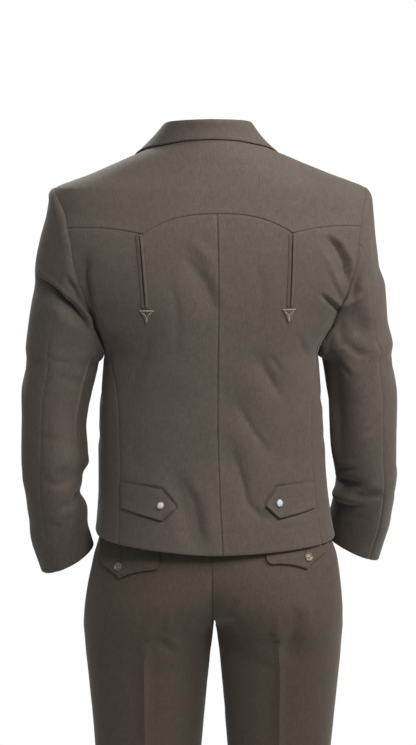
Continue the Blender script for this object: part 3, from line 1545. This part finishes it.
def overlap_face(x, z):
    return torso(turn_at(x, z, front=True), z) - vec(0, FRONT_LIFT, 0)


def waist_face(x, z):
    return stand(vec(x, -leg_at["front"](z), z), HIP_TURN, lean_at(z))


def make_horn_buttons(horn, thread):
    upper, lower = FRONT_BUTTON["levels"]
    for node, level, size, face, on, panel in (
        ("jacket_button_1", upper, FRONT_BUTTON, overlap_face, "body", "jacket_front_left"),
        ("jacket_button_2", lower, FRONT_BUTTON, overlap_face, "body", "jacket_front_left"),
        ("trouser_button", WAIST_BUTTON["z"], WAIST_BUTTON, waist_face, None, "trouser_waistband"),
    ):
        def under_button(s, t):
            return face(20 * (s - 0.5), 10 * (t - 0.5) + level)

        foot, normal = place_on(under_button, on, 0.5, 0.5, 0.5)
        radius, high = size["radius"], size["height"]
        apart, top = radius * 0.19, high * 0.7 + 0.25
        turned(
            node + "_horn", node, horn_profile(radius, high), foot, normal, horn, panel,
            segments=72, worked=four_holes(radius, apart, radius * 0.1),
        )
        side, up = facing(normal)
        u = np.linspace(-1, 1, 7)[:, None]
        lines = [
            foot + apart * (u * (side + sign * up)) + (top + 0.15 - 0.8 * u**4) * normal
            for sign in (1, -1)
        ]
        settle(tubes(node + "_thread", lines, 0.4, thread), panel=panel)


# ------- materials
class Nodes:
    """Short names for the nodes that the materials are made of."""

    def __init__(self, name):
        self.material = bpy.data.materials.new(name)
        self.material.use_nodes = True
        self.tree = self.material.node_tree
        self.shader = self.tree.nodes["Principled BSDF"]

    def add(self, kind, settings=None, **inputs):
        node = self.tree.nodes.new("ShaderNode" + kind)
        for key, value in (settings or {}).items():
            setattr(node, key, value)
        for key, value in inputs.items():
            self.put(node.inputs[key.replace("_", " ")], value)
        return node

    def put(self, socket, value):
        if isinstance(value, bpy.types.NodeSocket):
            self.tree.links.new(value, socket)
        else:
            socket.default_value = value

    def spread(self, value, new_low, new_high):
        """The middle of a noise's range, spread over another range."""
        return self.between(value, 0.3, 0.7, new_low, new_high)

    def set(self, **inputs):
        for key, value in inputs.items():
            self.put(self.shader.inputs[key.replace("_", " ")], value)

    def own(self):
        """The piece's own coordinates."""
        return self.add("TexCoord").outputs["Object"]

    def scaled(self, vector, x, y, z=1.0, turn=0.0):
        node = self.add("Mapping", None, Vector=vector, Scale=(x, y, z), Rotation=(0, 0, turn))
        return node.outputs[0]

    def noise(self, vector, scale, detail=2.0, rough=0.5):
        node = self.add("TexNoise", None, Vector=vector, Scale=scale, Detail=detail, Roughness=rough)
        return node.outputs["Fac"]

    def ramp(self, factor, *stops):
        node = self.add("ValToRGB", None, Fac=factor)
        ramp = node.color_ramp
        while len(ramp.elements) < len(stops):
            ramp.elements.new(0.5)
        for element, (at, colour) in zip(ramp.elements, stops):
            element.position = at
            element.color = (*colour, 1)
        return node.outputs["Color"]

    def mix(self, factor, a, b, blend="MIX"):
        node = self.add("Mix", {"data_type": "RGBA", "blend_type": blend})
        self.put(node.inputs[0], factor)
        self.put(node.inputs[6], a if isinstance(a, bpy.types.NodeSocket) else (*a, 1))
        self.put(node.inputs[7], b if isinstance(b, bpy.types.NodeSocket) else (*b, 1))
        return node.outputs[2]

    def maths(self, operation, a, b):
        node = self.add("Math", {"operation": operation})
        self.put(node.inputs[0], a)
        self.put(node.inputs[1], b)
        return node.outputs[0]

    def between(self, value, low, high, new_low, new_high):
        node = self.add("MapRange", None, Value=value)
        for key, number in (("From Min", low), ("From Max", high), ("To Min", new_low), ("To Max", new_high)):
            node.inputs[key].default_value = number
        return node.outputs[0]

    def bump(self, height, strength, distance, normal=None):
        node = self.add("Bump", None, Height=height, Strength=strength, Distance=distance)
        if normal is not None:
            self.put(node.inputs["Normal"], normal)
        return node.outputs[0]


JACKET_YARNS = {
    "brown": (0.120, 0.089, 0.064), "slate": (0.090, 0.079, 0.072),
    "light": (0.19, 0.153, 0.122), "dark": (0.05, 0.041, 0.034),
}
TROUSER_YARNS = {
    "brown": (0.100, 0.070, 0.046), "slate": (0.075, 0.062, 0.050),
    "light": (0.16, 0.123, 0.09), "dark": (0.042, 0.033, 0.025),
}


def wool_material(name, brown, slate, light, dark):
    """Sharkskin wool: brown and slate yarns in a fine twill, slubbed and streaked along the warp."""
    n = Nodes(name)
    uv = n.add("UVMap", {"uv_map": "cloth"}).outputs[0]
    slub = n.noise(n.scaled(uv, 300, 240), 1.0, 3.0, 0.65)
    mottle = n.noise(n.scaled(uv, 120, 90), 1.0, 2.0, 0.6)
    warp = n.noise(n.scaled(uv, 1000, 60), 1.0, 2.0, 0.6)
    weft = n.noise(n.scaled(uv, 60, 1000), 1.0, 2.0, 0.6)
    wide = n.noise(n.scaled(uv, 11, 7), 1.0, 2.0, 0.5)
    yarns = n.mix(n.spread(slub, 0.15, 0.85), brown, slate)
    yarns = n.mix(n.between(warp, 0.5, 0.75, 0, 0.26), yarns, light)
    yarns = n.mix(n.between(warp, 0.5, 0.25, 0, 0.24), yarns, dark)
    shade = n.maths("ADD", n.spread(mottle, 0.93, 1.07), n.spread(weft, -0.04, 0.04))
    shade = n.maths("MULTIPLY", shade, n.spread(wide, 0.97, 1.03))
    grey = n.add("CombineColor", None, Red=shade, Green=shade, Blue=shade).outputs[0]
    n.set(Base_Color=n.mix(1.0, yarns, grey, "MULTIPLY"))
    twill = n.add(
        "TexWave", {"wave_type": "BANDS"}, Vector=n.scaled(uv, 1, 1, turn=math.radians(27)), Scale=170.0,
        Distortion=1.2, Detail=1.0,
    ).outputs["Fac"]
    fuzz = n.noise(n.scaled(uv, 1400, 1400), 1.0, 3.0, 0.7)
    weave = n.maths("ADD", n.maths("MULTIPLY", twill, 0.6), n.maths("MULTIPLY", fuzz, 0.7))
    n.set(
        Normal=n.bump(mottle, 0.25, 0.0006, n.bump(weave, 0.35, 0.0003)),
        Roughness=n.spread(slub, 0.72, 0.9),
    )
    n.set(Specular_IOR_Level=0.35, Sheen_Weight=0.22, Sheen_Roughness=0.45, Sheen_Tint=(0.9, 0.86, 0.8, 1))
    return n.material


def thread_material(name, light, dark):
    n = Nodes(name)
    ply = n.noise(n.scaled(n.own(), 2400, 2400, 900), 1.0, 2.0)
    n.set(
        Base_Color=n.ramp(ply, (0.32, dark), (0.68, light)),
        Roughness=n.spread(ply, 0.42, 0.62),
        Normal=n.bump(ply, 0.4, 0.0002),
    )
    n.set(Sheen_Weight=0.3, Sheen_Roughness=0.35)
    return n.material


def pearl_material():
    n = Nodes("snap_pearl")
    swirl = n.noise(n.scaled(n.own(), 260, 260, 420), 1.0, 3.0, 0.6)
    rose, white, blue = (0.66, 0.65, 0.67), (0.80, 0.79, 0.80), (0.72, 0.75, 0.78)
    n.set(
        Base_Color=n.ramp(swirl, (0.3, rose), (0.5, white), (0.7, blue)),
        Roughness=n.spread(swirl, 0.16, 0.3),
        Normal=n.bump(swirl, 0.1, 0.0002),
    )
    n.set(Coat_Weight=0.6, Coat_Roughness=0.08, Subsurface_Weight=0.15, Subsurface_Scale=0.001)
    return n.material


def metal_material(name, bright, dull, rough):
    """Worn metal: tarnish in patches, with fine scratches in its roughness."""
    n = Nodes(name)
    tarnish = n.noise(n.own(), 420.0, 4.0, 0.65)
    scratch = n.noise(n.scaled(n.own(), 3000, 600, 300), 1.0, 2.0)
    n.set(
        Base_Color=n.ramp(tarnish, (0.36, dull), (0.62, bright)),
        Metallic=n.between(tarnish, 0.3, 0.6, 0.75, 1.0),
        Roughness=n.maths("ADD", n.spread(tarnish, rough + 0.12, rough), n.spread(scratch, -0.05, 0.06)),
        Normal=n.bump(tarnish, 0.15, 0.0002, n.bump(scratch, 0.08, 0.0001)),
    )
    return n.material


def horn_material():
    n = Nodes("horn")
    flow = n.noise(n.scaled(n.own(), 90, 90, 300), 1.0, 4.0, 0.6)
    dark, middle, light = (0.012, 0.008, 0.006), (0.045, 0.028, 0.018), (0.12, 0.075, 0.045)
    n.set(
        Base_Color=n.ramp(flow, (0.3, dark), (0.5, middle), (0.7, light)),
        Roughness=n.spread(flow, 0.26, 0.42),
        Normal=n.bump(flow, 0.08, 0.0003),
    )
    n.set(Coat_Weight=0.25, Coat_Roughness=0.2)
    return n.material


def floor_material():
    n = Nodes("studio_floor")
    grain = n.noise(n.own(), 30.0, 3.0)
    n.set(
        Base_Color=n.ramp(grain, (0.3, (0.78, 0.78, 0.78)), (0.7, (0.82, 0.82, 0.82))),
        Roughness=n.spread(grain, 0.7, 0.85),
    )
    return n.material


# ------- studio
CAMERA_PLACE = (0.2395, 3.0608, 0.0714)
CAMERA_TARGET = (0.004, 0.0, -0.360)
CAMERA_LENS = 96.64
FLOOR_DROP = 18.0  # below the trouser hems
FLOOR_RADIUS = 1050.0
LIGHTS = (  # name, place and watts
    ("key", (-1.5, 0.8, 1.2), 31.0),
    ("near", (-0.6, 1.6, 1.2), 26.5),
    ("far", (0.9, -1.9, 0.9), 24.0),
)
LIGHT_TARGET = (-0.1, 0.1, -0.2)
LIGHT_SIZE = 0.9
LIGHT_COLOUR = (1.0, 0.985, 0.96)
FILL = 0.305  # the strength of the surroundings
FILL_COLOUR = (0.93, 0.96, 1.0)


def aimed(thing, place, target):
    thing.location = place
    thing.rotation_euler = (Vector(target) - Vector(place)).to_track_quat("-Z", "Y").to_euler()
    bpy.context.scene.collection.objects.link(thing)
    return thing


def make_surroundings():
    """A white backdrop for the camera, and an even fill for everything else."""
    world = bpy.data.worlds.new("studio")
    bpy.context.scene.world = world
    world.use_nodes = True
    tree = world.node_tree
    tree.nodes.clear()
    path, mix, out, fill, backdrop = (
        tree.nodes.new("ShaderNode" + kind)
        for kind in ("LightPath", "MixShader", "OutputWorld", "Background", "Background")
    )
    for node, colour, strength in ((fill, FILL_COLOUR, FILL), (backdrop, (1, 1, 1), 1.0)):
        node.inputs["Color"].default_value = (*colour, 1)
        node.inputs["Strength"].default_value = strength
    for start, end in (
        (path.outputs["Is Camera Ray"], mix.inputs[0]),
        (fill.outputs[0], mix.inputs[1]),
        (backdrop.outputs[0], mix.inputs[2]),
        (mix.outputs[0], out.inputs[0]),
    ):
        tree.links.new(start, end)


def make_studio():
    scene = bpy.context.scene
    camera = bpy.data.cameras.new("camera")
    camera.lens = CAMERA_LENS
    scene.camera = aimed(bpy.data.objects.new("camera", camera), CAMERA_PLACE, CAMERA_TARGET)

    for name, place, power in LIGHTS:
        light = bpy.data.lights.new(name, "AREA")
        light.shape = "DISK"
        light.size = LIGHT_SIZE
        light.energy = power
        light.color = LIGHT_COLOUR
        aimed(bpy.data.objects.new(name, light), place, LIGHT_TARGET)

    turn = np.linspace(0, 2 * np.pi, 97)[:-1]
    ring = vec(FLOOR_RADIUS * np.cos(turn), FLOOR_RADIUS * np.sin(turn), LEG_HEM_Z - FLOOR_DROP)
    mesh_object("studio_floor", ring, [list(range(len(turn)))], floor_material())

    make_surroundings()
    scene.view_settings.view_transform = "Standard"


def main():
    jacket_wool = wool_material("jacket_cloth", **JACKET_YARNS)
    trouser_wool = wool_material("trouser_cloth", **TROUSER_YARNS)
    thread = thread_material("arrowhead_silk", (0.50, 0.42, 0.32), (0.30, 0.24, 0.17))
    mid_thread = thread_material("arrowhead_sides", (0.155, 0.118, 0.082), (0.085, 0.064, 0.045))
    dark_thread = thread_material("arrowhead_ground", (0.115, 0.082, 0.058), (0.05, 0.036, 0.026))
    make_body(jacket_wool)
    make_collar(jacket_wool)
    make_sleeves(jacket_wool)
    make_back_trims(jacket_wool, thread, mid_thread, dark_thread)
    make_trousers(trouser_wool)
    make_snaps(metal_material("snap_steel", (0.62, 0.62, 0.63), (0.36, 0.36, 0.36), 0.25), pearl_material())
    bronze = metal_material("bronze", (0.42, 0.37, 0.31), (0.13, 0.112, 0.094), 0.42)
    make_flap_buttons(bronze, dark_thread)
    make_horn_buttons(horn_material(), dark_thread)
    make_studio()


main()
